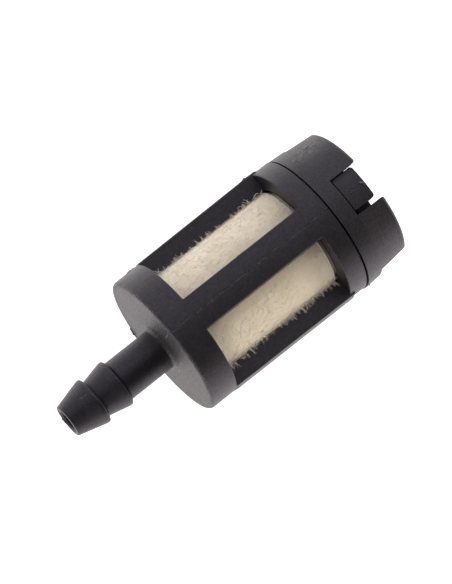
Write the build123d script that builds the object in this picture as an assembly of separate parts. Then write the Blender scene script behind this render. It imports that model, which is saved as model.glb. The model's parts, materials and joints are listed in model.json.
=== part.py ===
from build123d import *
from math import hypot
import os

# In-tank fuel pick-up filter, lying on its side, in millimetres.
# +X runs along the filter from the hose nipple to the end cap, and +Z is up.
# The origin is on the filter's axis, in the plane of the shoulder face where the hose stops.
# Four ribs stand at +Z, +Y, -Z and -Y, and the four windows lie between them.

# Hose nipple: two cone barbs on a plain stub, outlet bore right through.
nipple_length = 12.0
tip_radius = 1.76
stub_radius = 2.25
neck_radius = 2.11
front_crest_radius = 2.6
rear_crest_radius = 2.64
crest_land = 0.3
crest_round = 0.12
barb_back = 0.25
front_crest_x = -8.75
rear_crest_x = -5.92
outlet_radius = 1.2
bore_chamfer = 0.2
stub_fillet = 0.4

# Housing: cup-shaped shoulder, open cage and collar, moulded in one piece with the nipple.
shoulder_radius = 7.9
shoulder_round = 0.4
collar_radius = 8.0
floor_thickness = 2.0
cage_inner_radius = 6.15
window_start = 3.15
window_end = 17.95
collar_end = 20.1
rib_half_width = 1.83
edge_round = 0.12

# The two side ribs stand a little proud of the ring and collar, as two sloping rails.
rail_start = 3.3
rail_end = 18.7
rail_ramp = 0.3
rail_start_radius = 8.0
rail_end_radius = 8.15

# Four prongs reach from the collar through the cap and end in its notches.
prong_count = 4
prong_half_width = 1.89
prong_inner_radius = 6.45
prong_root_radius = 7.56
prong_end_radius = 7.3
prong_end = 24.93
prong_corner = 0.3
prong_turn = -0.45
head_groove_start = 22.16
head_groove_width = 0.2
head_groove_depth = 0.4

# End cap: tapering shell with four notches open to its rim.
# It sits a little turned and off centre, in its play on the prongs.
parting_gap = 0.18
cap_start = collar_end + parting_gap
cap_base_radius = 8.04
cap_band_radius = 7.95
cap_rim_radius = 7.66
cap_rim_x = 25.6
cap_rim_round = 0.4
cap_inner_radius = 6.6
notch_floor = 22.1
notch_half_width = 2.19
notch_corner = 0.45
keyway_inner_radius = 6.3
keyway_outer_radius = 7.72
closure_start = 22.9
closure_end = 24.35
pocket_radius = 4.9
pocket_wall = 0.9
gate_radius = 1.6
gate_depth = 0.3
cap_turn = 0.5
cap_offset = 0.1

# Filter element: core, mesh, felt, end disc and washer, drawn out through the collar.
element_start = 2.45
core_spigot_start = 0.75
core_spigot_radius = 1.98
spigot_seat_radius = 2.05
spigot_seat_start = 0.6
core_tube_radius = 2.5
core_bore_radius = 1.5
core_flange_radius = 5.6
core_flange_thickness = 0.6
core_end = 18.2
core_end_wall = 0.7
slot_rows = 5
slot_length = 2.0
slot_width = 1.5
mesh_gap = 0.03
mesh_thickness = 0.12
felt_gap = 0.05
felt_radius = 6.0
felt_end = 18.6
end_disc_thickness = 1.4
end_disc_radius = 5.85
washer_radius = 3.6

# Sinker weight in the cap's pocket.
weight_clearance = 0.02
weight_start = 20.4
weight_chamfer = 0.3

beyond = 1.0
edge_reach = 7.0


def turned(points):
    """A solid of revolution about X from a closed outline of (x, radius) points."""
    return revolve(make_face(Polyline(*points, close=True)), Axis.X)


def tube(x_start, x_end, inner_radius, outer_radius):
    """A plain tube about X."""
    return turned([(x_start, inner_radius), (x_end, inner_radius), (x_end, outer_radius), (x_start, outer_radius)])


def rod(x_start, x_end, radius):
    """A plain round bar about X."""
    return Pos(x_start, 0, 0) * Rot(0, 90, 0) * Cylinder(
        radius, x_end - x_start, align=(Align.CENTER, Align.CENTER, Align.MIN)
    )


def upright_bar(x_start, x_end, half_width, z_low, z_high):
    """A square-edged bar across the +Z side, centred on the XZ plane."""
    size = Box(x_end - x_start, 2 * half_width, z_high - z_low, align=(Align.MIN, Align.CENTER, Align.MIN))
    return Pos(x_start, 0, z_low) * size


def around(piece, count, turn=0.0):
    """Copies of a piece, evenly spaced about X, the first one turned from +Z by an angle in degrees."""
    return [Rot(turn + 360 * step / count, 0, 0) * piece for step in range(count)]


def round_edges(shape, radius, x_low, x_high):
    """The circular edges of one radius that lie between two places along X."""
    circles = shape.edges().filter_by(GeomType.CIRCLE)
    return [edge for edge in circles if abs(edge.radius - radius) < 1e-6 and x_low < edge.center().X < x_high]


def barb_outline(crest_x, crest_radius, root_radius):
    """Outline points of one barb, from its crest's front edge to the foot of its back."""
    return [
        (crest_x - crest_land / 2, crest_radius),
        (crest_x + crest_land / 2, crest_radius),
        (crest_x + crest_land / 2 + barb_back, root_radius),
    ]


def make_nipple():
    """Tapered tip, two barbs and the plain stub, with rounded crests and a filleted foot."""
    front = barb_outline(front_crest_x, front_crest_radius, neck_radius)
    rear = barb_outline(rear_crest_x, rear_crest_radius, stub_radius)
    outline = [(-nipple_length, 0), (-nipple_length, tip_radius), *front, *rear, (beyond, stub_radius), (beyond, 0)]
    nipple = turned(outline)
    for crest_radius in (front_crest_radius, rear_crest_radius):
        nipple = fillet(round_edges(nipple, crest_radius, -nipple_length, 0), crest_round)
    lip = round_edges(nipple, tip_radius, -nipple_length - beyond, front_crest_x)
    return fillet(lip, crest_round)


def make_shell():
    """Shoulder, cage wall and collar as one closed-floored cup, before the windows are cut."""
    outer = turned([(0, 0), (0, shoulder_radius), (collar_end, collar_radius), (collar_end, 0)])
    outer = fillet(round_edges(outer, shoulder_radius, -beyond, beyond), shoulder_round)
    return outer - rod(floor_thickness, collar_end + beyond, cage_inner_radius)


def window_cutter():
    """The block that opens one window, between the ribs at +Z and -Y."""
    reach = collar_radius + beyond
    block = Box(
        window_end - window_start,
        reach - rib_half_width,
        reach - rib_half_width,
        align=(Align.MIN, Align.MAX, Align.MIN),
    )
    return Pos(window_start, -rib_half_width, rib_half_width) * block


def window_rims(shell):
    """The outer edges of the four windows."""
    rims = []
    for edge in shell.edges():
        middle = edge.center()
        if window_start - beyond < middle.X < window_end + beyond and hypot(middle.Y, middle.Z) > edge_reach:
            rims.append(edge)
    return rims


def make_rail():
    """The proud outer face of one side rib, with a ramp at each end and rounded long edges."""
    rail = turned(
        [
            (rail_start - rail_ramp, cage_inner_radius),
            (rail_start - rail_ramp, shoulder_radius),
            (rail_start, rail_start_radius),
            (rail_end - rail_ramp, rail_end_radius),
            (rail_end, shoulder_radius),
            (rail_end, cage_inner_radius),
        ]
    )
    rail = rail & upright_bar(rail_start - rail_ramp, rail_end, rib_half_width, 0, rail_end_radius)
    long_edges = [edge for edge in rail.edges() if edge.center().Z > edge_reach and edge.length > 2 * window_start]
    return fillet(long_edges, edge_round)


def make_prong():
    """One prong: it slopes in line with the cap, a groove marks off its head, its free corners are rounded."""
    side = make_face(
        Polyline(
            (collar_end - beyond, prong_inner_radius),
            (prong_end, prong_inner_radius),
            (prong_end, prong_end_radius),
            (collar_end, prong_root_radius),
            (collar_end - beyond, prong_root_radius),
            close=True,
        )
    )
    prong = revolve(side, Axis.X, 90)
    prong = Rot(45, 0, 0) * prong
    prong = prong & upright_bar(0, cap_rim_x, prong_half_width, 0, cap_base_radius)
    end_face = prong.faces().sort_by(Axis.X)[-1]
    prong = fillet(end_face.edges().filter_by(Axis.Z), prong_corner)
    groove_floor = prong_root_radius - head_groove_depth
    return prong - tube(head_groove_start, head_groove_start + head_groove_width, groove_floor, cap_base_radius)


def make_housing():
    """Nipple, shoulder, ribs, collar and prongs, moulded as one piece."""
    shell = make_shell()
    for cutter in around(window_cutter(), prong_count):
        shell -= cutter
    shell = fillet(window_rims(shell), edge_round)
    for rail in around(make_rail(), 2, 90):
        shell += rail
    housing = shell + make_nipple()
    housing = fillet(round_edges(housing, stub_radius, -beyond, beyond), stub_fillet)
    for prong in around(make_prong(), prong_count, prong_turn):
        housing += prong
    housing -= rod(-nipple_length - beyond, floor_thickness + beyond, outlet_radius)
    housing -= rod(spigot_seat_start, floor_thickness + beyond, spigot_seat_radius)
    mouth = round_edges(housing, outlet_radius, -nipple_length - beyond, front_crest_x)
    return chamfer(mouth, bore_chamfer)


def make_cap_shell():
    """The cap's tapering wall, rounded at the rim, with a recessed closure across it."""
    wall = turned(
        [
            (cap_start, cap_inner_radius),
            (cap_start, cap_base_radius),
            (notch_floor, cap_band_radius),
            (cap_rim_x, cap_rim_radius),
            (cap_rim_x, cap_inner_radius),
        ]
    )
    wall = fillet(round_edges(wall, cap_rim_radius, closure_end, cap_rim_x + beyond), cap_rim_round)
    closure = rod(closure_start, closure_end, cap_inner_radius + pocket_wall / 2)
    closure -= rod(closure_end - gate_depth, closure_end + beyond, gate_radius)
    pocket = tube(cap_start, closure_start + pocket_wall / 2, pocket_radius, pocket_radius + pocket_wall)
    return wall + closure + pocket


def notch_outline():
    """The notch seen from outside, as (x, y): square at its floor and flared where it meets the rim."""
    flare_x = cap_rim_x - notch_corner
    flare_y = notch_half_width + notch_corner
    past_rim = cap_rim_x + beyond
    floor = Polyline((flare_x, notch_half_width), (notch_floor, notch_half_width), (notch_floor, 0))
    flare = RadiusArc((flare_x, notch_half_width), (cap_rim_x, flare_y), -notch_corner)
    mouth = Polyline((cap_rim_x, flare_y), (past_rim, flare_y), (past_rim, 0), (notch_floor, 0))
    half = make_face(floor + flare + mouth)
    return half + mirror(half, Plane.XZ)


def make_keyway():
    """The passage of one prong: a slot under the band that opens out as the notch."""
    reach = cap_base_radius + beyond
    ring = tube(cap_start - beyond, notch_floor + beyond, keyway_inner_radius, keyway_outer_radius)
    under_band = ring & upright_bar(cap_start - beyond, notch_floor + beyond, notch_half_width, 0, reach)
    notch = extrude(notch_outline(), reach) - rod(notch_floor - beyond, cap_rim_x + 2 * beyond, keyway_inner_radius)
    return under_band + notch


def seated(piece):
    """A piece of the cap as it sits: turned and moved towards -Y in its play on the prongs."""
    return Pos(0, -cap_offset, 0) * Rot(cap_turn, 0, 0) * piece


def make_end_cap():
    """The cap, cut by its four keyways."""
    cap = make_cap_shell()
    for keyway in around(make_keyway(), prong_count):
        cap -= keyway
    return seated(cap)


def make_core():
    """Slotted support tube with a spigot for the outlet, a flange and a closed far end."""
    flange_end = element_start + core_flange_thickness
    core = rod(core_spigot_start, element_start + beyond / 2, core_spigot_radius)
    core += rod(element_start, flange_end, core_flange_radius)
    core += rod(flange_end, core_end, core_tube_radius)
    core -= rod(core_spigot_start - beyond, core_end - core_end_wall, core_bore_radius)
    pitch = (core_end - core_end_wall - flange_end) / slot_rows
    for row in range(slot_rows):
        slot_x = flange_end + pitch * (row + 0.5) - slot_length / 2
        for slot in around(upright_bar(slot_x, slot_x + slot_length, slot_width / 2, 0, felt_radius), 4, 45):
            core -= slot
    return core


def make_mesh_screen():
    """Fine mesh wrapped round the core, as a thin tube."""
    inner = core_tube_radius + mesh_gap
    return tube(element_start + core_flange_thickness + mesh_gap, core_end, inner, inner + mesh_thickness)


def make_felt_sleeve():
    """Thick-walled felt tube over the mesh, standing on the core's flange."""
    inner = core_tube_radius + mesh_gap + mesh_thickness + felt_gap
    return tube(element_start + core_flange_thickness, felt_end, inner, felt_radius)


def make_end_disc():
    """Felt disc that closes the far end of the sleeve and bears on the cap."""
    return rod(felt_end, felt_end + end_disc_thickness, end_disc_radius)


def make_washer():
    """Flat sealing washer round the spigot, between the cup's floor and the core's flange."""
    return tube(floor_thickness + mesh_gap, element_start, core_spigot_radius + mesh_gap, washer_radius)


def make_weight():
    """Round sinker weight with chamfered ends, held in the cap's pocket."""
    weight = rod(weight_start, closure_start, pocket_radius - weight_clearance)
    return seated(chamfer(weight.edges().filter_by(GeomType.CIRCLE), weight_chamfer))


parts = {
    "housing": make_housing(),
    "end_cap": make_end_cap(),
    "felt_sleeve": make_felt_sleeve(),
    "felt_end_disc": make_end_disc(),
    "mesh_screen": make_mesh_screen(),
    "strainer_core": make_core(),
    "outlet_washer": make_washer(),
    "sinker_weight": make_weight(),
}

os.makedirs("parts", exist_ok=True)
for name, part in parts.items():
    export_step(part, f"parts/{name}.step")
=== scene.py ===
import json
import math
import random

import bpy
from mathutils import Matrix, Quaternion, Vector, noise
from mathutils.bvhtree import BVHTree


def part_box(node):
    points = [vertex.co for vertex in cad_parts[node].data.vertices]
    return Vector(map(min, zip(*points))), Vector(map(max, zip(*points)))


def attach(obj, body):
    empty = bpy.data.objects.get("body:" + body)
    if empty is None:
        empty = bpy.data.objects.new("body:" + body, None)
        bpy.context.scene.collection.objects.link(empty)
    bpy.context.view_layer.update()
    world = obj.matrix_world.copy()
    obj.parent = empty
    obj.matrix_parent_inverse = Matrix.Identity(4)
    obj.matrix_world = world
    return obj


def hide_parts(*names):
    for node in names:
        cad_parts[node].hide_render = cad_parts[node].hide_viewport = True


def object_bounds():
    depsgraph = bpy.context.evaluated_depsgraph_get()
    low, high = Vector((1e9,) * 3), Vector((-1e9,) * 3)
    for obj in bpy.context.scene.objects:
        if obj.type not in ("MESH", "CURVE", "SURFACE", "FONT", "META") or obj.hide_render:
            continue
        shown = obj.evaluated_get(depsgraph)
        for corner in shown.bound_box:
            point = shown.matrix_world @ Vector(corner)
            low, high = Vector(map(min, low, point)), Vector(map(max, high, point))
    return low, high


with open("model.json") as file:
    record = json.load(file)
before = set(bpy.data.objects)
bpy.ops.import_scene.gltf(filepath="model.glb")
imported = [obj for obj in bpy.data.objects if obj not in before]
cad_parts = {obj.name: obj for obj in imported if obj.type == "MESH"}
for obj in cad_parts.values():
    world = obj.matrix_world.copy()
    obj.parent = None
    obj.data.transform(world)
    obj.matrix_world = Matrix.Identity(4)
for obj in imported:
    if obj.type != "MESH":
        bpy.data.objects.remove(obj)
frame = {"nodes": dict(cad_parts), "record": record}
CAD_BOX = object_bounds()

# The filter lies along X, with its hose nipple at -X, its cap at +X and the shoulder's face at X = 0.
# The middle rib is at +Z. An angle about the axis is taken from +Z towards +Y.

# ---------------------------------------------------------------- measures
MM = 0.001
AXIS_X = Vector((1, 0, 0))
REACH = (CAD_BOX[1] - CAD_BOX[0]).length
FELT_LOW, FELT_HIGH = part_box("felt_sleeve")
DISC_LOW, DISC_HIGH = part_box("felt_end_disc")
FELT_RADIUS = FELT_HIGH.z
DISC_RADIUS = DISC_HIGH.z
OPENING_PLAY = 0.1 * MM
WINDOW_END = frame["record"]["physics"]["openings"][0]["box_m"][1][0] + OPENING_PLAY
RIB_ANGLES = [math.radians(90 * step) for step in range(-2, 3)]
FOUR_RIBS = RIB_ANGLES[:-1]

# camera: a long lens that looks down on the filter and leans towards its nipple
VIEW_AZIMUTH = -72.945
VIEW_ELEVATION = 76.446
VIEW_ROLL = 34.107
VIEW_DISTANCE = 256.25 * MM
FOCAL_LENGTH = 157.76
AIM = Vector((8.668, 0.323, 0)) * MM

# studio: strengths of the broad light's dim and bright side, of the end panels and of the floor,
# and half of the floor's width
BROAD_DIM = 0.05
BROAD_BRIGHT = 1.0
END_PANEL = 2.6
FLOOR_GLOW = 1.12
FLOOR_HALF = 3.0

# felt: a wool tube with a bound edge just short of the collar, so that it draws in there
FELT_BORE = 2.7 * MM
FELT_CELL = 0.13 * MM
BOUND_EDGE = WINDOW_END - 0.25 * MM
DRAW_IN_LENGTH = 0.16 * MM
DRAW_IN_DEPTH = 0.5 * MM
PINCH_LENGTH = 1.1 * MM
PINCH_DEPTH = 0.08 * MM
CUT_ROUND = 0.25 * MM
COVERED_HALF_ANGLE = math.radians(19)
BULGE_RISE_ANGLE = math.radians(9)
BULGE = 0.07 * MM
DISC_EDGE = DISC_RADIUS - 0.1 * MM

# wool fibres
FIBRE_RADIUS = 0.013 * MM
FIBRE_COUNT = 5600
NAP_COUNT = 8600
NAP_LEAN = math.radians(-124)
STRAY_COUNT = 220
TUFT_HAIRS = 4
DISC_FIBRE_COUNT = 1500

# each long hair starts and ends at (x from the felt's bound edge or its nipple end, degrees off the
# rib), stands off the felt by a height, and has a share of its arch; lengths are in millimetres
LONG_HAIRS_AT_CAP = [
    ((-1.55, 21.0), (-0.30, 25.0), 0.62, 1.0),
    ((-1.25, 21.5), (-0.45, 23.5), 0.50, 0.95),
    ((-2.00, 20.5), (-2.55, 20.0), 0.75, 0.55),
    ((-2.15, 21.0), (-1.75, 20.0), 0.62, 0.50),
    ((-2.50, 20.5), (-3.20, 20.5), 0.60, 0.60),
    ((-1.80, 20.5), (-2.20, 20.0), 0.80, 0.45),
    ((-0.35, 23.0), (-0.05, 20.5), 0.45, 0.50),
]
LONG_HAIRS_AT_NIPPLE = [
    ((1.15, 21.0), (0.55, 20.0), 0.70, 0.60),
    ((1.45, 20.5), (0.75, 20.5), 0.50, 0.70),
    ((0.95, 21.5), (1.30, 20.0), 0.62, 0.50),
    ((3.40, 20.5), (3.10, 20.0), 0.45, 0.50),
]

# moulding marks, in millimetres and degrees
SIDE_RADIUS = 7.9
SEAM_LINES = [(0.0, 1.0), (180.0, -11.6)]
SEAM_END = 20.0
FLECK_COUNT = 60
FLECKS_ON_SEAM = (0.15, 0.28, 0.42, 0.62, 3.1, 3.4, 4.9, 5.15, 5.3, 9.8, 11.2, 14.6, 16.2, 16.35)
FACE_FLASH = [(4.4, 4.8), (5.2, 5.9), (6.1, 6.8), (6.9, 7.4)]
BORE_FLASH = (150, 178, 1.5)
RIM_FLASH = [(148, 158, 7.5), (159, 164, 7.5)]

# each burr runs from (x, degrees) to (x, degrees), with a width and a height
BURRS_ON_HOUSING = [
    ((1.6, 79.0), (2.8, 84.0), 0.16, 0.10),
    ((16.4, 77.0), (17.5, 79.0), 0.22, 0.14),
    ((9.5, 13.0), (10.9, 13.4), 0.10, 0.06),
    ((-9.92, 28.5), (-9.86, 19.6), 0.10, 0.05),
    ((-9.88, 19.6), (-9.16, 17.4), 0.11, 0.05),
    ((-8.82, 26.3), (-8.72, -8.0), 0.06, 0.03),
    ((-5.95, 24.0), (-5.9, -38.0), 0.05, 0.03),
    ((22.45, 0.6), (23.3, -1.3), 0.07, 0.03),
    ((24.45, 1.8), (24.8, -2.2), 0.24, 0.16),
    ((24.5, 0.5), (24.75, -4.5), 0.14, 0.12),
    ((14.0, -1.4), (14.15, -1.0), 0.10, 0.06),
    ((8.5, -3.3), (8.62, -3.0), 0.08, 0.05),
]
BURRS_ON_CAP = [
    ((20.45, -86.0), (20.8, -93.0), 0.18, 0.10),
    ((21.4, 45.5), (21.6, 48.2), 0.12, 0.06),
    ((22.9, 43.2), (23.3, 45.5), 0.09, 0.05),
    ((23.4, 41.0), (23.6, 43.5), 0.07, 0.04),
    ((21.9, 44.6), (22.2, 46.2), 0.07, 0.04),
    ((22.25, -17.6), (22.75, -16.6), 0.07, 0.05),
    ((22.1, 50.4), (22.9, 51.3), 0.07, 0.025),
    ((22.4, 52.6), (23.5, 53.0), 0.08, 0.025),
    ((22.7, 49.2), (23.6, 50.4), 0.06, 0.02),
    ((23.2, 51.6), (24.4, 52.3), 0.07, 0.02),
    ((23.0, 54.6), (23.9, 54.9), 0.08, 0.025),
    ((21.8, 53.8), (22.5, 54.5), 0.07, 0.02),
]


def polar(x, radius, angle):
    """A point at a distance from the filter's axis, its angle taken from +Z towards +Y."""
    return Vector((x, radius * math.sin(angle), radius * math.cos(angle)))


# the cap's rub mark: patches as (centre, radius, strength)
CAP_SCUFFS = [
    (polar(22.4 * MM, 7.95 * MM, math.radians(52)), 1.9 * MM, 0.8),
    (polar(24.0 * MM, 7.8 * MM, math.radians(52)), 1.6 * MM, 0.6),
]


# ---------------------------------------------------------------- shader nodes
class Shading:
    """A node tree under construction. Most methods add a node and return the socket that it gives."""

    def __init__(self, owner):
        owner.use_nodes = True
        self.nodes = owner.node_tree.nodes
        self.links = owner.node_tree.links

    def feed(self, node, socket, value):
        """Joins another node's socket to an input, or sets the input's own constant."""
        target = node.inputs[socket]
        if isinstance(value, bpy.types.NodeSocket):
            self.links.new(value, target)
        elif target.type == "RGBA":
            target.default_value = (*value, 1)
        else:
            target.default_value = value

    def add(self, kind, inputs):
        """A new node, with its inputs fed by name or number."""
        node = self.nodes.new(kind)
        for socket, value in inputs.items():
            self.feed(node, socket, value)
        return node

    def place(self, kind="Object"):
        """Where a point is: by default in the object's own coordinates, which stay with a moving piece."""
        return self.nodes.new("ShaderNodeTexCoord").outputs[kind]

    def split(self, vector):
        """The X, Y and Z of a vector."""
        return list(self.add("ShaderNodeSeparateXYZ", {0: vector}).outputs)

    def noise(self, place, scale, detail=3.0, roughness=0.5, distortion=0.0):
        """Noise of a stated scale, in repeats per metre."""
        inputs = {"Vector": place, "Scale": scale, "Detail": detail}
        inputs.update({"Roughness": roughness, "Distortion": distortion})
        return self.add("ShaderNodeTexNoise", inputs).outputs["Fac"]

    def stretched(self, place, scale, turn=(0, 0, 0)):
        """The same place, turned and stretched along each axis, for streaks."""
        inputs = {"Vector": place, "Scale": scale, "Rotation": turn}
        return self.add("ShaderNodeMapping", inputs).outputs["Vector"]

    def ramp(self, value, *stops):
        """A colour ramp between two stops, each a position and a colour."""
        node = self.add("ShaderNodeValToRGB", {"Fac": value})
        for element, (position, colour) in zip(node.color_ramp.elements, stops):
            element.position = position
            element.color = (*colour, 1)
        return node.outputs["Color"]

    def remap(self, value, low, high, to_low, to_high):
        """A value moved from one range to another, held at the ends."""
        inputs = {"Value": value, "From Min": low, "From Max": high, "To Min": to_low, "To Max": to_high}
        return self.add("ShaderNodeMapRange", inputs).outputs["Result"]

    def maths(self, operation, first, second=0.0):
        """One maths node on two sockets or numbers."""
        node = self.add("ShaderNodeMath", {0: first, 1: second})
        node.operation = operation
        return node.outputs[0]

    def times(self, first, second):
        """The product of two sockets or numbers."""
        return self.maths("MULTIPLY", first, second)

    def mix(self, factor, first, second):
        """A mix of two colours."""
        node = self.nodes.new("ShaderNodeMix")
        node.data_type = "RGBA"
        for socket, value in (("Factor", factor), (6, first), (7, second)):
            self.feed(node, socket, value)
        return node.outputs[2]

    def wave(self, place, scale, distortion):
        """A wave texture node, for its user to turn to bands or rings."""
        return self.add("ShaderNodeTexWave", {"Vector": place, "Scale": scale, "Distortion": distortion})

    def bump(self, height, distance, strength, normal=None):
        """A bump of a stated height in metres, on top of another one if given."""
        inputs = {"Height": height, "Distance": distance, "Strength": strength}
        if normal is not None:
            inputs["Normal"] = normal
        return self.add("ShaderNodeBump", inputs).outputs["Normal"]

    def spot(self, place, centre, radius):
        """A soft round mask, 1 at a place on the object and 0 outside a radius."""
        node = self.add("ShaderNodeVectorMath", {0: place, 1: centre})
        node.operation = "DISTANCE"
        return self.remap(node.outputs["Value"], radius * 0.25, radius, 1, 0)


def new_material(name):
    """An empty material, with its node tree and its principled shader."""
    material = bpy.data.materials.new(name)
    tree = Shading(material)
    return material, tree, tree.nodes["Principled BSDF"]


# ---------------------------------------------------------------- materials
def shoulder_face(tree, place):
    """A mask for the coarser, spark-eroded face of the shoulder, which stands at X = 0."""
    return tree.remap(tree.maths("ABSOLUTE", tree.split(place)[0]), 0.05 * MM, 0.4 * MM, 1, 0)


def seam_mask(tree, place):
    """A mask for the broken, slightly wandering line where the mould halves met, from the shoulder on."""
    along, aside, _ = tree.split(place)
    lengthwise = tree.stretched(place, (1, 0.01, 0.01))
    wander = tree.remap(tree.noise(lengthwise, 1500, 3, 0.7), 0.3, 0.7, -0.02 * MM, 0.16 * MM)
    uneven = tree.remap(tree.noise(lengthwise, 2600, 2, 0.6), 0.35, 0.65, -0.035 * MM, 0.035 * MM)
    away = tree.maths("ADD", tree.maths("ABSOLUTE", tree.maths("ADD", aside, wander)), uneven)
    line = tree.remap(away, 0.03 * MM, 0.075 * MM, 1, 0)
    breaks = tree.remap(tree.noise(lengthwise, 700, 2, 0.5), 0.36, 0.48, 0, 1)
    cage = tree.remap(along, 0.5 * MM, 1.0 * MM, 0, 1)
    return tree.times(tree.times(line, breaks), cage)


def with_face_dust_and_sheen(tree, place, face, colour, height):
    """The colour and height with a coarse speckle on the shoulder's face: a paler colour that is partly
    dust and partly painted sheen of its grain.
    """
    speckle = tree.noise(tree.stretched(place, (1, 1, 0.35)), 4600, 3, 0.8)
    # dust and painted sheen: the speckle laid into the colour as a paler grey
    dust_and_sheen = tree.times(face, tree.remap(speckle, 0.44, 0.6, 0, 0.4))
    coarse = tree.times(face, tree.times(speckle, 2.0))
    return tree.mix(dust_and_sheen, colour, (0.11, 0.10, 0.09)), tree.maths("ADD", height, coarse)


def with_seam_and_painted_shade(tree, place, colour, height):
    """The colour and height with the mould line as a groove: a bump, with the groove's shade painted in as
    a near-black line.
    """
    line = seam_mask(tree, place)
    # painted shade: the groove's shadow laid into the colour as a near-black line
    dark = tree.mix(tree.times(line, 0.8), colour, (0.002, 0.002, 0.002))
    return dark, tree.maths("SUBTRACT", height, tree.times(line, 2.5))


def with_scuff(tree, place, colour, height, scuff):
    """The colour and height with one patchy grey rub mark."""
    centre, radius, strength = scuff
    rubbed = tree.noise(tree.stretched(place, (0.5, 1, 1)), 3600, 5, 0.75, 0.5)
    patchy = tree.remap(rubbed, 0.46, 0.62, 0, strength)
    mask = tree.times(tree.spot(place, centre, radius), patchy)
    return tree.mix(mask, colour, (0.14, 0.132, 0.12)), tree.maths("ADD", height, tree.times(mask, rubbed))


def black_nylon(name, seam=False, scuffs=()):
    """Moulded black nylon: spark grain, drag marks, a face with dust and painted sheen, and a mould line
    with painted groove shade and scuffs if asked.
    """
    material, tree, shader = new_material(name)
    place = tree.place()
    grain = tree.noise(place, 3600, 4, 0.8)
    cloud = tree.noise(place, 420, 3, 0.55)
    drag = tree.noise(tree.stretched(place, (0.12, 1, 1)), 2600, 3, 0.6)
    face = shoulder_face(tree, place)
    colour = tree.ramp(cloud, (0.3, (0.0068, 0.0060, 0.0084)), (0.72, (0.0108, 0.0096, 0.0128)))
    colour = tree.mix(tree.remap(drag, 0.62, 0.8, 0, 0.22), colour, (0.032, 0.030, 0.032))
    colour, height = with_face_dust_and_sheen(tree, place, face, colour, grain)
    if seam:
        colour, height = with_seam_and_painted_shade(tree, place, colour, height)
    for scuff in scuffs:
        colour, height = with_scuff(tree, place, colour, height, scuff)
    pits = tree.times(tree.remap(grain, 0.36, 0.64, -0.5, 0.5), tree.remap(face, 0, 1, 0.22, 0.75))
    normal = tree.bump(height, 0.06 * MM, tree.remap(face, 0, 1, 0.45, 1.0))
    tree.feed(shader, "Base Color", colour)
    tree.feed(shader, "Roughness", tree.remap(cloud, 0.3, 0.75, 0.42, 0.47))
    tree.feed(shader, "Specular IOR Level", tree.maths("ADD", pits, 0.56))
    tree.feed(shader, "Specular Tint", (0.93, 0.86, 1.0))
    tree.feed(shader, "Normal", tree.bump(drag, 0.008 * MM, 0.35, normal))
    return material


def raised_nylon(name):
    """Torn nylon of flash and burrs: thin, so a little paler and rougher than the moulding."""
    material, tree, shader = new_material(name)
    torn = tree.noise(tree.place(), 9000, 4, 0.7)
    colour = tree.ramp(torn, (0.35, (0.03, 0.029, 0.029)), (0.65, (0.22, 0.215, 0.21)))
    tree.feed(shader, "Base Color", colour)
    tree.feed(shader, "Roughness", 0.55)
    tree.feed(shader, "Normal", tree.bump(torn, 0.01 * MM, 0.5))
    return material


def wool_felt(name):
    """Undyed wool felt: warm off-white, matted, with painted shade in its hollows, darker streaks, a soft
    sheen and light through it.
    """
    material, tree, shader = new_material(name)
    place = tree.place()
    hollow_shade_and_streak_tone = (0.76, 0.66, 0.49)
    cloud = tree.noise(place, 450, 4, 0.6)
    mat = tree.noise(place, 4200, 4, 0.75, 1.0)
    streak = tree.noise(tree.stretched(place, (1, 0.25, 0.25), (0.4, 0, 0)), 4200, 3, 0.6, 0.8)
    colour = tree.ramp(cloud, (0.3, (0.88, 0.785, 0.62)), (0.7, (0.94, 0.855, 0.70)))
    # painted shade: the matting's low places, which the bump sinks, darkened in the colour
    colour = tree.mix(tree.remap(mat, 0.34, 0.56, 0.42, 0), colour, hollow_shade_and_streak_tone)
    # darker streaks in the wool, in the same tone
    colour = tree.mix(tree.remap(streak, 0.36, 0.54, 0.3, 0), colour, hollow_shade_and_streak_tone)
    tree.feed(shader, "Base Color", colour)
    tree.feed(shader, "Roughness", 0.95)
    tree.feed(shader, "Specular IOR Level", 0.15)
    tree.feed(shader, "Sheen Weight", 0.3)
    tree.feed(shader, "Sheen Roughness", 0.5)
    tree.feed(shader, "Subsurface Weight", 0.3)
    tree.feed(shader, "Subsurface Scale", 0.15 * MM)
    tree.feed(shader, "Subsurface Radius", (1.0, 0.92, 0.82))
    tree.feed(shader, "Normal", tree.bump(mat, 0.04 * MM, 0.5))
    return material


def wool_fibre(name):
    """Single wool fibres: each one has its own tone, kept on the mesh, and a little mottling along it."""
    material, tree, shader = new_material(name)
    tone = tree.nodes.new("ShaderNodeAttribute")
    tone.attribute_name = "tone"
    mottle = tree.remap(tree.noise(tree.place(), 15000, 2, 0.5), 0.3, 0.7, -0.15, 0.15)
    blend = tree.maths("ADD", tone.outputs["Fac"], mottle)
    tree.feed(shader, "Base Color", tree.ramp(blend, (0.0, (0.78, 0.685, 0.53)), (1.0, (0.98, 0.93, 0.83))))
    tree.feed(shader, "Roughness", 0.7)
    tree.feed(shader, "Specular IOR Level", 0.3)
    tree.feed(shader, "Sheen Weight", 0.2)
    return material


def fused_wool(name):
    """The felt's heat-sealed edge: glazed, paler and cooler than the wool."""
    material, tree, shader = new_material(name)
    cloud = tree.noise(tree.place(), 2500, 3, 0.6)
    tree.feed(shader, "Base Color", tree.ramp(cloud, (0.3, (0.60, 0.60, 0.56)), (0.7, (0.86, 0.87, 0.84))))
    tree.feed(shader, "Roughness", 0.35)
    return material


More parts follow.
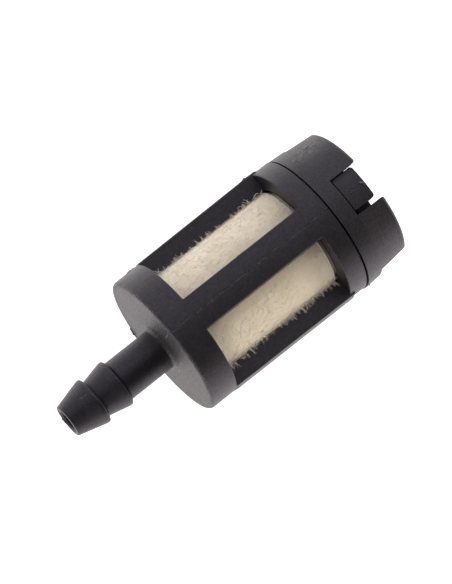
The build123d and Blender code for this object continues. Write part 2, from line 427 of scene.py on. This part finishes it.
def natural_nylon(name):
    """Uncoloured nylon of the inner core: milky, slightly yellow, with cloudy flow lines."""
    material, tree, shader = new_material(name)
    place = tree.place()
    flow = tree.noise(tree.stretched(place, (0.25, 1, 1)), 900, 4, 0.55, 0.6)
    grain = tree.noise(place, 8000, 3, 0.6)
    tree.feed(shader, "Base Color", tree.ramp(flow, (0.3, (0.62, 0.58, 0.47)), (0.7, (0.76, 0.73, 0.63))))
    tree.feed(shader, "Roughness", tree.remap(flow, 0.3, 0.7, 0.32, 0.46))
    tree.feed(shader, "Subsurface Weight", 0.2)
    tree.feed(shader, "Subsurface Scale", 0.6 * MM)
    tree.feed(shader, "Normal", tree.bump(grain, 0.008 * MM, 0.4))
    return material


def woven_nylon(name):
    """Fine square-woven filter mesh, with its threads raised and its holes dark."""
    material, tree, shader = new_material(name)
    place = tree.place()
    weave = []
    for direction in ("X", "Y"):
        wave = tree.wave(place, 1500, 0.4)
        wave.bands_direction = direction
        weave.append(wave.outputs["Fac"])
    threads = tree.maths("MAXIMUM", *weave)
    colour = tree.ramp(threads, (0.35, (0.10, 0.09, 0.07)), (0.8, (0.72, 0.70, 0.62)))
    tree.feed(shader, "Base Color", colour)
    tree.feed(shader, "Roughness", 0.4)
    tree.feed(shader, "Normal", tree.bump(threads, 0.03 * MM, 0.8))
    return material


def nitrile_rubber(name):
    """Black nitrile of the sealing washer: matt, with a faint bloom and a moulded grain."""
    material, tree, shader = new_material(name)
    place = tree.place()
    bloom = tree.noise(place, 1100, 4, 0.6)
    grain = tree.noise(place, 9500, 3, 0.6)
    colour = tree.ramp(bloom, (0.35, (0.012, 0.012, 0.013)), (0.75, (0.045, 0.045, 0.047)))
    tree.feed(shader, "Base Color", colour)
    tree.feed(shader, "Roughness", tree.remap(bloom, 0.3, 0.7, 0.55, 0.75))
    tree.feed(shader, "Normal", tree.bump(grain, 0.01 * MM, 0.5))
    return material


def turned_steel(name):
    """Turned steel slug: fine tool rings, a dull plated colour and spots of brown stain."""
    material, tree, shader = new_material(name)
    place = tree.place()
    rings = tree.wave(place, 1800, 0.6)
    rings.wave_type = "RINGS"
    rings.rings_direction = "X"
    stain = tree.remap(tree.noise(place, 700, 5, 0.65), 0.56, 0.7, 0, 0.8)
    plating = tree.ramp(tree.noise(place, 300, 3), (0.3, (0.42, 0.42, 0.41)), (0.7, (0.56, 0.56, 0.54)))
    tree.feed(shader, "Base Color", tree.mix(stain, plating, (0.20, 0.11, 0.06)))
    tree.feed(shader, "Metallic", tree.remap(stain, 0, 0.8, 1, 0.3))
    tree.feed(shader, "Roughness", tree.remap(stain, 0, 0.8, 0.34, 0.75))
    tree.feed(shader, "Normal", tree.bump(rings.outputs["Fac"], 0.01 * MM, 0.5))
    return material


def plain_floor(name):
    """Pale studio paper that glows a little, as an over-lit sweep does."""
    material, tree, shader = new_material(name)
    tree.feed(shader, "Base Color", (0.9, 0.9, 0.9))
    tree.feed(shader, "Roughness", 0.9)
    tree.feed(shader, "Emission Color", (1, 0.965, 0.95))
    tree.feed(shader, "Emission Strength", FLOOR_GLOW)
    return material


def finish_cad(node, material):
    """Gives a carried-over CAD node its material in every slot."""
    target = frame["nodes"][node]
    if not target.material_slots:
        target.data.materials.append(material)
    for material_slot in target.material_slots:
        material_slot.material = material


# ---------------------------------------------------------------- meshes
def add_piece(name, vertices, faces, material, body, tones=()):
    """A smooth-shaded mesh piece that rides on a body, with a tone per vertex if given."""
    mesh = bpy.data.meshes.new(name)
    mesh.from_pydata(vertices, [], faces)
    mesh.materials.append(material)
    mesh.shade_smooth()
    if tones:
        mesh.attributes.new("tone", "FLOAT", "POINT").data.foreach_set("value", tones)
    piece = bpy.data.objects.new(name, mesh)
    bpy.context.scene.collection.objects.link(piece)
    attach(piece, body)
    return piece


def ring_faces(rows, columns):
    """Quads between closed rings of vertices, with the last ring joined to the first."""
    faces = []
    for row in range(rows):
        below, above = row * columns, (row + 1) % rows * columns
        for column in range(columns):
            beside = (column + 1) % columns
            faces.append((below + column, below + beside, above + beside, above + column))
    return faces


class Gathering:
    """Small closed forms gathered into one mesh: tubes for fibres, and ridges and chips for burrs."""

    def __init__(self):
        self.vertices = []
        self.faces = []
        self.tones = []

    def add_skin(self, first, sections, corners):
        """Closes a run of sections, each a ring of corners, into a skin with two flat ends."""
        for section in range(sections - 1):
            low = first + section * corners
            high = low + corners
            for corner in range(corners):
                beside = (corner + 1) % corners
                self.faces.append((low + corner, low + beside, high + beside, high + corner))
        last = first + (sections - 1) * corners
        self.faces.append(tuple(first + corner for corner in reversed(range(corners))))
        self.faces.append(tuple(last + corner for corner in range(corners)))

    def tube(self, path, radii, sides, tone=None):
        """Adds a tube along a path, all of one tone if given."""
        first = len(self.vertices)
        up = Vector((0.31, 0.52, 0.79)).normalized()
        for index, (point, radius) in enumerate(zip(path, radii)):
            ahead = path[min(index + 1, len(path) - 1)] - path[max(index - 1, 0)]
            side = ahead.cross(up).normalized()
            over = side.cross(ahead).normalized()
            for corner in range(sides):
                turn = 2 * math.pi * corner / sides
                aside, above = radius * math.cos(turn), radius * math.sin(turn)
                self.vertices.append(point + side * aside + over * above)
        self.add_skin(first, len(path), sides)
        if tone is not None:
            self.tones.extend([tone] * (len(path) * sides))

    def ridge(self, rng, spots, width, height):
        """Adds an uneven three-sided ridge that follows places on a skin, thinning out at both ends."""
        first = len(self.vertices)
        count = len(spots)
        for index, (place, normal) in enumerate(spots):
            ahead = spots[min(index + 1, count - 1)][0] - spots[max(index - 1, 0)][0]
            across = ahead.cross(normal).normalized()
            taper = max(0.15, math.sin(math.pi * (index + 0.5) / count) ** 0.4)
            wide = width * taper * rng.uniform(0.6, 1.3)
            tall = height * taper * rng.uniform(0.35, 1.5)
            lean = across * wide * rng.uniform(-0.4, 0.4)
            sunk = place - normal * 0.02 * MM
            self.vertices.append(sunk - across * wide / 2)
            self.vertices.append(place + normal * tall + lean)
            self.vertices.append(sunk + across * wide / 2)
        self.add_skin(first, count, 3)

    def chip(self, rng, centre, size):
        """Adds one torn chip: an uneven double pyramid."""
        first = len(self.vertices)
        sides = 5
        for corner in range(sides):
            turn = 2 * math.pi * corner / sides
            flat = Vector((math.cos(turn), math.sin(turn), rng.uniform(-0.3, 0.3)))
            self.vertices.append(centre + flat * size * rng.uniform(0.5, 1.2))
        self.vertices.append(centre + Vector((rng.uniform(-0.3, 0.3), rng.uniform(-0.3, 0.3), 0.6)) * size)
        self.vertices.append(centre - Vector((0, 0, 0.5)) * size)
        for corner in range(sides):
            beside = (corner + 1) % sides
            self.faces.append((first + corner, first + beside, first + sides))
            self.faces.append((first + beside, first + corner, first + sides + 1))

    def piece(self, name, material, body, slot):
        """The gathered forms as one piece."""
        return add_piece(name, self.vertices, self.faces, material, body, self.tones)


# ---------------------------------------------------------------- felt
def off_rib(angle):
    """From 0 behind a rib to 1 out in a window."""
    nearest = min(abs(angle - rib) for rib in RIB_ANGLES)
    return min(1.0, max(0.0, (nearest - COVERED_HALF_ANGLE) / BULGE_RISE_ANGLE))


def felt_matting(point):
    """How far the matted wool stands proud at a place, in metres."""
    broad = noise.fractal(point * 900, 1.0, 2.0, 3)
    tuft = abs(noise.noise(point * 2600)) * 2 - 0.6
    return (0.018 * broad + 0.006 * tuft) * MM


def sleeve_radius(x, angle):
    """The felt's outer radius: matted, fuller in the windows, drawn in past its bound edge."""
    towards_edge = min(1.0, max(0.0, 1 - (BOUND_EDGE - x) / PINCH_LENGTH))
    past_edge = min(1.0, max(0.0, (x - BOUND_EDGE) / DRAW_IN_LENGTH))
    nipple_side = max(0.0, 1 - (x - FELT_LOW.x) / CUT_ROUND)
    drawn_in = PINCH_DEPTH * towards_edge ** 2 + DRAW_IN_DEPTH * past_edge * past_edge * (3 - 2 * past_edge)
    drawn_in += 0.5 * CUT_ROUND * nipple_side ** 2
    full = BULGE * off_rib(angle)
    return FELT_RADIUS - 0.04 * MM + full - drawn_in + felt_matting(polar(x, FELT_RADIUS, angle))


def felt_sleeve_body(material):
    """The felt tube: a matted outer side, rounded cut ends and a plain bore, as one closed skin."""
    columns = round(2 * math.pi * FELT_RADIUS / FELT_CELL)
    length = FELT_HIGH.x - FELT_LOW.x
    steps = round(length / FELT_CELL)
    end_steps = 12
    vertices = []

    def add_ring(x, share):
        """Adds a ring between the bore, at 0, and the outer side, at 1."""
        for column in range(columns):
            angle = 2 * math.pi * column / columns - math.pi
            outer = sleeve_radius(x, angle)
            rough = 0.04 * MM * noise.noise(polar(x, outer, angle) * 3000) if 0 < share < 1 else 0
            vertices.append(polar(x + rough, FELT_BORE + (outer - FELT_BORE) * share, angle))

    for step in range(steps + 1):
        add_ring(FELT_LOW.x + length * step / steps, 1)
    for step in range(1, end_steps):
        add_ring(FELT_HIGH.x, 1 - step / end_steps)
    for x in (FELT_HIGH.x, FELT_LOW.x):
        add_ring(x, 0)
    for step in range(1, end_steps):
        add_ring(FELT_LOW.x, step / end_steps)
    faces = ring_faces(len(vertices) // columns, columns)
    body = add_piece("felt_sleeve_body", vertices, faces, material, "element")
    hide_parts("felt_sleeve")


def felt_disc_body(material):
    """The felt end disc: matted faces and a soft, rounded edge."""
    columns = 220
    thickness = DISC_HIGH.x - DISC_LOW.x
    middle = (DISC_LOW.x + DISC_HIGH.x) / 2
    edge_steps = 12
    face_steps = 34
    vertices = []

    def add_ring(x, radius):
        """Adds a matted ring, its wool standing proud outward and off the nearer face."""
        for column in range(columns):
            place = polar(x, radius, 2 * math.pi * column / columns)
            rough = felt_matting(place + Vector((0.05, 0, 0)))
            off_face = Vector((x - middle, 0, 0)).normalized() * 0.5 * rough
            vertices.append(place + off_face + Vector((0, place.y, place.z)).normalized() * rough)

    edge = DISC_RADIUS - thickness / 2
    for step in range(face_steps):
        add_ring(DISC_LOW.x, edge * (step + 0.4) / face_steps)
    for step in range(edge_steps + 1):
        turn = math.pi * step / edge_steps
        swell = math.sin(turn) ** 0.6 * (thickness / 2 - 0.08 * MM)
        add_ring(middle - math.cos(turn) * thickness / 2, edge + swell)
    for step in reversed(range(face_steps)):
        add_ring(DISC_HIGH.x, edge * (step + 0.4) / face_steps)
    rows = len(vertices) // columns
    faces = ring_faces(rows, columns)[: (rows - 1) * columns]
    faces.append(tuple(reversed(range(columns))))
    faces.append(tuple(range((rows - 1) * columns, rows * columns)))
    body = add_piece("felt_disc_body", vertices, faces, material, "element")
    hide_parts("felt_end_disc")


def in_felt(x):
    """Whether a place along the axis is within the sleeve's cut ends."""
    return FELT_LOW.x + 0.1 * MM < x < FELT_HIGH.x - 0.15 * MM


def lying_fibre(rng, x, angle, length, lift):
    """Points of a fibre that wanders over the felt's side and rises a little in its middle."""
    points = 6
    heading = rng.uniform(0, 2 * math.pi)
    bend = rng.gauss(0, 0.9) / points
    path = []
    for step in range(points):
        rise = lift * math.sin(math.pi * step / (points - 1)) - 0.012 * MM
        path.append(polar(x, sleeve_radius(x, angle) + rise, angle))
        x += math.cos(heading) * length / points
        angle += math.sin(heading) * length / points / FELT_RADIUS
        heading += bend + rng.gauss(0, 0.12)
    return path


def felt_fibres(material):
    """Thousands of single fibres that lie matted over the sleeve."""
    rng = random.Random(41)
    hairs = Gathering()
    for _ in range(FIBRE_COUNT):
        x = rng.uniform(FELT_LOW.x + 0.3 * MM, FELT_HIGH.x - 0.3 * MM)
        angle = rng.uniform(-math.pi, math.pi)
        length = rng.uniform(0.5, 1.3) * MM
        lift = rng.uniform(0.0, 0.008 + 0.012 * off_rib(angle)) * MM
        path = lying_fibre(rng, x, angle, length, lift)
        if not in_felt(path[-1].x):
            continue
        thin = FIBRE_RADIUS * rng.uniform(0.9, 1.6)
        radii = [thin * share for share in (0.5, 1, 1, 1, 0.9, 0.3)]
        hairs.tube(path, radii, 3, rng.random())
    hairs.piece("felt_fibres", material, "element", "wool_felt")


def nap_fibre(rng, x, angle, inward):
    """Points of a short fibre end, combed with its neighbours and bent towards its window's middle."""
    root = polar(x, sleeve_radius(x, angle) - 0.02 * MM, angle)
    outward, around = polar(0, 1, angle), polar(0, 1, angle + math.pi / 2)
    tuft = 0.5 + noise.noise(root * 1700)
    lean = NAP_LEAN + 1.6 * noise.noise(root * 800) + rng.gauss(0, 0.35)
    along = AXIS_X * math.cos(lean) + around * math.sin(lean)
    length = rng.uniform(0.15, 0.36) * (0.6 + 0.8 * tuft) * MM
    rise = rng.uniform(0.05, 0.4)
    path = []
    for share in (0, 1 / 3, 2 / 3, 1):
        sway = along * math.cos(rise) + outward * math.sin(rise) * (1 - 0.35 * share)
        path.append(root + (sway + around * inward * 0.25 * share) * (length * share))
    return path


def nap(material):
    """Short fibre ends in tufts, combed one way round, which stand off the felt and blur its outline."""
    rng = random.Random(83)
    hairs = Gathering()
    for _ in range(NAP_COUNT):
        rib = rng.choice(FOUR_RIBS)
        angle = rib + math.radians(rng.uniform(21, 69))
        x = rng.uniform(FELT_LOW.x + 0.45 * MM, BOUND_EDGE)
        path = nap_fibre(rng, x, angle, 1 if angle < rib + math.pi / 4 else -1)
        thin = FIBRE_RADIUS * rng.uniform(0.9, 1.4)
        hairs.tube(path, [thin, thin, thin * 0.8, thin * 0.35], 3, rng.random())
    hairs.piece("felt_nap", material, "element", "wool_felt")


def bowed(root, tip, bow):
    """Four points from a root to a tip, the middle two pushed aside."""
    return [root, root.lerp(tip, 0.35) + bow, root.lerp(tip, 0.7) + bow, tip]


def edge_tuft(rng, hairs, x, rib, side):
    """Adds one pointed tuft beside a rib: a thick spike, with finer hairs gathered to its tip."""
    angle = rib + side * math.radians(rng.uniform(18, 22))
    outward, away = polar(0, 1, angle), polar(0, 1, angle + side * math.pi / 2)
    base = polar(x, sleeve_radius(x, angle) - 0.03 * MM, angle)
    reach = rng.choice((rng.uniform(0.08, 0.25), rng.uniform(0.25, 0.55))) * MM
    reach *= 1.7 if rib < 0 else 1.0
    tip = base + outward * reach + away * rng.uniform(-0.05, 0.12) * MM
    tip += AXIS_X * rng.uniform(-0.25, 0.25) * MM
    bow = (outward + away * 0.5) * rng.uniform(-0.02, 0.05) * MM
    thick = rng.uniform(0.025, 0.042) * MM
    radii = [thick, thick * 0.7, thick * 0.4, thick * 0.08]
    # spike and hairs take tones from the paler half only: painted light that lifts the shade the tufts cast
    # on one another
    hairs.tube(bowed(base, tip, bow), radii, 5, 0.5 + rng.random() / 2)
    for _ in range(TUFT_HAIRS):
        root = base + AXIS_X * rng.uniform(-0.15, 0.15) * MM + away * rng.uniform(0, 0.3) * MM
        end = tip + Vector([rng.gauss(0, 0.1) * MM for _ in range(3)])
        thin = FIBRE_RADIUS * rng.uniform(0.6, 1.0)
        radii = [thin, thin, thin * 0.8, thin * 0.35]
        hairs.tube(bowed(root, end, bow), radii, 3, 0.5 + rng.random() / 2)


def edge_tufts(material):
    """Pointed tufts of nap along both sides of the two side ribs, longer beside the one at -Y."""
    rng = random.Random(61)
    hairs = Gathering()
    for rib in (-math.pi / 2, math.pi / 2):
        for side in (-1, 1):
            x = FELT_LOW.x + 0.5 * MM
            while x < BOUND_EDGE - 0.1 * MM:
                edge_tuft(rng, hairs, x, rib, side)
                x += rng.uniform(0.08, 0.28) * MM
    hairs.piece("felt_edge_tufts", material, "element", "wool_felt")


def bound_edge(material):
    """The fused edge of the felt: a thin, uneven, broken bead where the sleeve draws in."""
    rng = random.Random(3)
    bead = Gathering()
    turn = 0.0
    while turn < 2 * math.pi - 0.1:
        span = min(rng.uniform(0.5, 1.3), 2 * math.pi - turn)
        steps = max(6, round(span / 0.03))
        path = []
        for step in range(steps + 1):
            angle = turn + span * step / steps - math.pi
            x = BOUND_EDGE + rng.gauss(0, 0.012) * MM
            path.append(polar(x, sleeve_radius(BOUND_EDGE, angle) + 0.01 * MM, angle))
        radii = [rng.uniform(0.035, 0.06) * MM for _ in path]
        radii[0] = 0.008 * MM
        radii[-1] = 0.008 * MM
        bead.tube(path, radii, 6)
        turn += span + rng.uniform(0.01, 0.12)
    bead.piece("felt_bound_edge", material, "element", "wool_felt")


def stray_fibre(rng, x, angle, length, climb):
    """Points of a fibre that leaves the felt and curls through the air of its window."""
    points = 9
    heading = rng.uniform(0, 2 * math.pi)
    curl = rng.gauss(0, 0.3)
    radius = sleeve_radius(x, angle) - 0.02 * MM
    path = []
    for step in range(points):
        path.append(polar(x, radius, angle))
        x += math.cos(heading) * length / points
        angle += math.sin(heading) * length / points / FELT_RADIUS
        radius += climb * math.cos(math.pi * 0.75 * step / points) * length / points
        heading += curl + rng.gauss(0, 0.15)
    return path


def long_hairs(rng, hairs):
    """Adds the longest loose hairs, which arch off the felt beside the ribs at both ends of the windows."""
    ends = [(BOUND_EDGE, hair) for hair in LONG_HAIRS_AT_CAP]
    ends += [(FELT_LOW.x, hair) for hair in LONG_HAIRS_AT_NIPPLE]
    points = 12
    for rib, side in ((math.pi / 2, -1), (math.pi / 2, 1), (-math.pi / 2, -1)):
        for origin, (start, end, height, arch) in ends:
            height *= rng.uniform(0.8, 1.2) * MM
            path = []
            for step in range(points):
                share = step / (points - 1)
                x = origin + (start[0] + (end[0] - start[0]) * share) * MM
                angle = rib + side * math.radians(start[1] + (end[1] - start[1]) * share)
                rise = height * math.sin(math.pi * arch * share)
                path.append(polar(x, sleeve_radius(x, angle) + rise, angle))
            radii = [FIBRE_RADIUS * (1.9 - 1.3 * step / points) for step in range(points)]
            hairs.tube(path, radii, 4, 1.0)


def stray_fibres(material):
    """Loose fibres that stand off the felt in the windows, close to the ribs."""
    rng = random.Random(17)
    hairs = Gathering()
    for _ in range(STRAY_COUNT):
        rib = rng.choice(FOUR_RIBS)
        angle = rib + math.radians(rng.choice((rng.uniform(20.5, 29), rng.uniform(61, 69.5))))
        nipple_end = rng.gauss(FELT_LOW.x + 1.5 * MM, 0.4 * MM)
        cap_end = rng.gauss(BOUND_EDGE - 0.9 * MM, 0.4 * MM)
        x = rng.choice((rng.uniform(FELT_LOW.x + 0.7 * MM, BOUND_EDGE), nipple_end, cap_end))
        length = rng.uniform(0.4, 0.9 + 0.8 * rng.random()) * MM
        path = stray_fibre(rng, x, angle, length, rng.uniform(0.2, 0.65))
        if not all(in_felt(point.x) for point in path):
            continue
        thin = FIBRE_RADIUS * rng.uniform(1.0, 1.7)
        radii = [thin * (1 - 0.7 * step / len(path)) for step in range(len(path))]
        hairs.tube(path, radii, 3, 0.5 + rng.random() / 2)
    long_hairs(rng, hairs)
    hairs.piece("felt_stray_fibres", material, "element", "wool_felt")


def disc_edge_point(x, angle, heading, along, rise):
    """A point a way along a heading on the disc's rounded edge."""
    side = min(max(x + math.cos(heading) * along * 0.4, DISC_LOW.x), DISC_HIGH.x)
    bulge = 1 - (2 * (side - DISC_LOW.x) / (DISC_HIGH.x - DISC_LOW.x) - 1) ** 2
    radius = DISC_EDGE - 0.45 * MM * (1 - bulge) ** 2 + rise
    return polar(side, radius, angle + math.sin(heading) * along / DISC_EDGE)


def disc_face_point(face_x, radius, angle, heading, along, rise):
    """A point a way along a heading on one of the disc's faces."""
    out = math.copysign(rise, face_x - (DISC_LOW.x + DISC_HIGH.x) / 2)
    way = Vector((0, math.cos(heading), math.sin(heading))) * along * 0.6
    return polar(face_x + out, radius, angle) + way


def disc_fibres(material):
    """The nap on the end disc's edge and faces."""
    rng = random.Random(29)
    hairs = Gathering()
    for _ in range(DISC_FIBRE_COUNT):
        face_x = rng.choice((DISC_LOW.x, DISC_HIGH.x))
        x = rng.uniform(DISC_LOW.x + 0.2 * MM, DISC_HIGH.x - 0.2 * MM)
        angle = rng.uniform(-math.pi, math.pi)
        heading = rng.uniform(0, 2 * math.pi)
        length = rng.uniform(0.3, 1.0) * MM
        on_edge = rng.random() < 0.5
        radius = DISC_EDGE * math.sqrt(rng.random()) * 0.88
        path = []
        for step in range(6):
            along = length * step / 6
            rise = 0.03 * MM * math.sin(math.pi * step / 5)
            if on_edge:
                path.append(disc_edge_point(x, angle, heading, along, rise))
            else:
                path.append(disc_face_point(face_x, radius, angle, heading, along, rise))
            heading += rng.gauss(0, 0.3)
        hairs.tube(path, [FIBRE_RADIUS] * 6, 3, rng.random())
    hairs.piece("felt_disc_fibres", material, "element", "wool_felt")


# ---------------------------------------------------------------- moulding marks
def surface_tree(node):
    """A CAD node's skin, for laying small marks on it."""
    mesh = frame["nodes"][node].data
    places = [vertex.co.copy() for vertex in mesh.vertices]
    return BVHTree.FromPolygons(places, [tuple(polygon.vertices) for polygon in mesh.polygons])


def on_side(skin, x, angle):
    """The place and outward normal on a moulding's side, reached from outside towards the axis."""
    place, normal, _, _ = skin.ray_cast(polar(x, REACH, angle), polar(0, -1, angle))
    return place, normal


def on_face(skin, radius, angle):
    """The place and outward normal on what faces the nipple's end, reached along the axis."""
    place, normal, _, _ = skin.ray_cast(polar(CAD_BOX[0].x - REACH, radius, angle), AXIS_X)
    return place, normal


def side_run(rng, skin, start, end, step, wander):
    """Places along a side from (x, degrees) to (x, degrees), wandering a little, in millimetres."""
    length = math.hypot(start[0] - end[0], math.radians(start[1] - end[1]) * SIDE_RADIUS)
    count = max(4, round(length / step))
    spots = []
    for index in range(count + 1):
        share = index / count
        x = start[0] + (end[0] - start[0]) * share + rng.gauss(0, wander)
        off = math.degrees(rng.gauss(0, wander) / SIDE_RADIUS)
        degrees = start[1] + (end[1] - start[1]) * share + off
        place, normal = on_side(skin, x * MM, math.radians(degrees))
        if place is not None:
            spots.append((place, normal))
    return spots


def face_arc(skin, low, high, radius):
    """Nine places round an arc on the shoulder's face, in degrees and millimetres."""
    turns = [math.radians(low + (high - low) * step / 8) for step in range(9)]
    return [on_face(skin, radius * MM, turn) for turn in turns]


def mould_seams(skin, material):
    """Flash left where the mould halves met: broken lines on top from the ring on, and all along below."""
    rng = random.Random(5)
    flash = Gathering()
    for degrees, x in SEAM_LINES:
        while x < SEAM_END:
            run = rng.uniform(0.6, 2.6)
            drift = rng.gauss(0, 0.25)
            spots = side_run(rng, skin, (x, degrees + drift), (x + run, degrees + drift), 0.12, 0.008)
            spots = [spot for spot in spots if spot[1].x > -0.6]
            if len(spots) > 3:
                flash.ridge(rng, spots, 0.07 * MM, 0.022 * MM)
            x += run + rng.uniform(0.02, 0.5)
    flash.piece("mould_seams", material, "housing_body", "black_nylon")


def burrs(name, skin, runs, seed, material, body):
    """Short torn ridges at stated places on a moulding."""
    rng = random.Random(seed)
    torn = Gathering()
    for start, end, width, height in runs:
        torn.ridge(rng, side_run(rng, skin, start, end, 0.07, 0.008), width * MM, height * MM)
    torn.piece(name, material, body, "black_nylon")


def face_flash(skin, material):
    """Flash on the shoulder's face: a broken line up from the stub, and a torn bit at the bore's mouth."""
    rng = random.Random(31)
    flash = Gathering()
    for low, high in FACE_FLASH:
        count = max(4, round((high - low) / 0.08))
        radii = [low + (high - low) * step / count for step in range(count + 1)]
        spots = [on_face(skin, radius * MM, math.radians(rng.gauss(1.2, 0.3))) for radius in radii]
        flash.ridge(rng, spots, 0.11 * MM, 0.07 * MM)
    flash.ridge(rng, face_arc(skin, *BORE_FLASH), 0.12 * MM, 0.10 * MM)
    flash.piece("shoulder_flash", material, "housing_body", "black_nylon")


def rim_flash(skin, material):
    """Thin black skin that stands off the far rim of the shoulder's face."""
    rng = random.Random(37)
    flash = Gathering()
    for arc in RIM_FLASH:
        flash.ridge(rng, face_arc(skin, *arc), 0.07 * MM, 0.13 * MM)
    flash.piece("rim_flash", material, "housing_body", "black_nylon")


def seam_flecks(skin, material):
    """Pale nylon dust along the upper seam, and scattered over the ring, the ribs and the collar."""
    rng = random.Random(23)
    dust = Gathering()
    for x in FLECKS_ON_SEAM:
        place, _ = on_side(skin, x * MM, math.radians(rng.gauss(0, 0.6)))
        dust.chip(rng, place, rng.uniform(0.03, 0.06) * MM)
    for _ in range(FLECK_COUNT):
        place, _ = on_side(skin, rng.uniform(0.3, 20) * MM, rng.uniform(-math.pi, math.pi))
        if place is not None and Vector((0, place.y, place.z)).length > FELT_RADIUS * 1.1:
            dust.chip(rng, place, rng.uniform(0.012, 0.03) * MM)
    dust.piece("seam_flecks", material, "housing_body", "black_nylon")


# ---------------------------------------------------------------- stage
def add_camera():
    """The long-lens camera, which looks at the aim point from its azimuth and elevation."""
    data = bpy.data.cameras.new("camera")
    data.lens = FOCAL_LENGTH
    data.clip_start = 0.01
    camera = bpy.data.objects.new("camera", data)
    bpy.context.scene.collection.objects.link(camera)
    azimuth, elevation = math.radians(VIEW_AZIMUTH), math.radians(VIEW_ELEVATION)
    level = math.cos(elevation)
    back = Vector((math.sin(azimuth) * level, -math.cos(azimuth) * level, math.sin(elevation)))
    camera.location = AIM + back * VIEW_DISTANCE
    camera.rotation_mode = "QUATERNION"
    upright = (-back).to_track_quat("-Z", "Y")
    camera.rotation_quaternion = upright @ Quaternion((0, 0, 1), math.radians(VIEW_ROLL))
    bpy.context.scene.camera = camera


def add_floor():
    """A wide pale floor, just under the filter as it lies."""
    z = CAD_BOX[0].z
    signs = ((-1, -1), (1, -1), (1, 1), (-1, 1))
    corners = [(x * FLOOR_HALF, y * FLOOR_HALF, z) for x, y in signs]
    mesh = bpy.data.meshes.new("studio_floor")
    mesh.from_pydata(corners, [], [(0, 1, 2, 3)])
    mesh.materials.append(plain_floor("studio_paper"))
    floor = bpy.data.objects.new("studio_floor", mesh)
    bpy.context.scene.collection.objects.link(floor)


def broad_light(tree, along, aside):
    """A broad light that fills the sky on the +Y side, dim towards -Y and past the nipple's end."""
    light = tree.remap(aside, -0.12, 0.2, BROAD_DIM, BROAD_BRIGHT)
    return tree.times(light, tree.remap(along, -0.55, -0.2, 0.2, 1.0))


def pale_horizon(tree, along, aside, up):
    """A pale band low down, which fades upwards, towards +Y and towards both ends."""
    fade = tree.remap(aside, -0.3, 0.3, 2.3, 2.8)
    horizon = tree.maths("POWER", tree.remap(up, 0.0, 0.46, 1.0, 0.0), fade)
    horizon = tree.times(horizon, tree.remap(aside, -0.2, 0.4, 1.0, 0.25))
    return tree.times(horizon, tree.remap(tree.maths("ABSOLUTE", along), 0.5, 0.85, 1.0, 0.1))


def nipple_end_panels(tree, along, aside):
    """Two panels past the nipple's end, to either side of the axis, the one at -Y brighter."""
    panel = tree.remap(along, -0.62, -0.42, 0.75 * END_PANEL, 0.0)
    wings = tree.remap(tree.maths("ABSOLUTE", aside), 0.3, 0.5, 0.0, 1.0)
    return tree.times(panel, tree.times(wings, tree.remap(aside, -0.3, 0.3, 1.25, 0.6)))


def cap_end_panel(tree, along, aside):
    """A panel past the cap's end, brighter towards -Y."""
    panel = tree.remap(along, 0.58, 0.78, 0.0, END_PANEL)
    return tree.times(panel, tree.remap(aside, -0.2, 0.4, 1.0, 0.6))


def add_world():
    """Studio light from a broad light, a pale horizon and panels past both ends, warmer from -Y."""
    world = bpy.data.worlds.new("studio")
    tree = Shading(world)
    along, aside, up = tree.split(tree.place("Generated"))
    sky = tree.maths("MAXIMUM", broad_light(tree, along, aside), pale_horizon(tree, along, aside, up))
    ends = tree.maths("MAXIMUM", nipple_end_panels(tree, along, aside), cap_end_panel(tree, along, aside))
    warmth = tree.remap(aside, -0.4, 0.1, 1.0, 0.0)
    background = tree.nodes["Background"]
    tree.feed(background, "Strength", tree.maths("MAXIMUM", sky, ends))
    tree.feed(background, "Color", tree.mix(warmth, (1.0, 0.975, 1.0), (1.0, 0.915, 0.80)))
    bpy.context.scene.world = world


# ---------------------------------------------------------------- the filter
add_camera()
add_world()
add_floor()

BLACK = black_nylon("black_nylon", seam=True)
TORN = raised_nylon("torn_nylon")
FELT = wool_felt("wool_felt")
FIBRE = wool_fibre("wool_fibre")
finish_cad("housing", BLACK)
finish_cad("end_cap", black_nylon("scuffed_nylon", scuffs=CAP_SCUFFS))
finish_cad("strainer_core", natural_nylon("natural_nylon"))
finish_cad("mesh_screen", woven_nylon("nylon_mesh"))
finish_cad("outlet_washer", nitrile_rubber("nitrile"))
finish_cad("sinker_weight", turned_steel("weight_steel"))

felt_sleeve_body(FELT)
felt_disc_body(FELT)
felt_fibres(FIBRE)
nap(FIBRE)
edge_tufts(FIBRE)
bound_edge(fused_wool("fused_wool"))
stray_fibres(FIBRE)
disc_fibres(FIBRE)

HOUSING_SKIN = surface_tree("housing")
CAP_SKIN = surface_tree("end_cap")
mould_seams(HOUSING_SKIN, TORN)
burrs("housing_burrs", HOUSING_SKIN, BURRS_ON_HOUSING, 7, TORN, "housing_body")
burrs("cap_burrs", CAP_SKIN, BURRS_ON_CAP, 8, TORN, "cap")
face_flash(HOUSING_SKIN, TORN)
rim_flash(HOUSING_SKIN, BLACK)
seam_flecks(HOUSING_SKIN, TORN)

bpy.context.scene.view_settings.view_transform = "Standard"
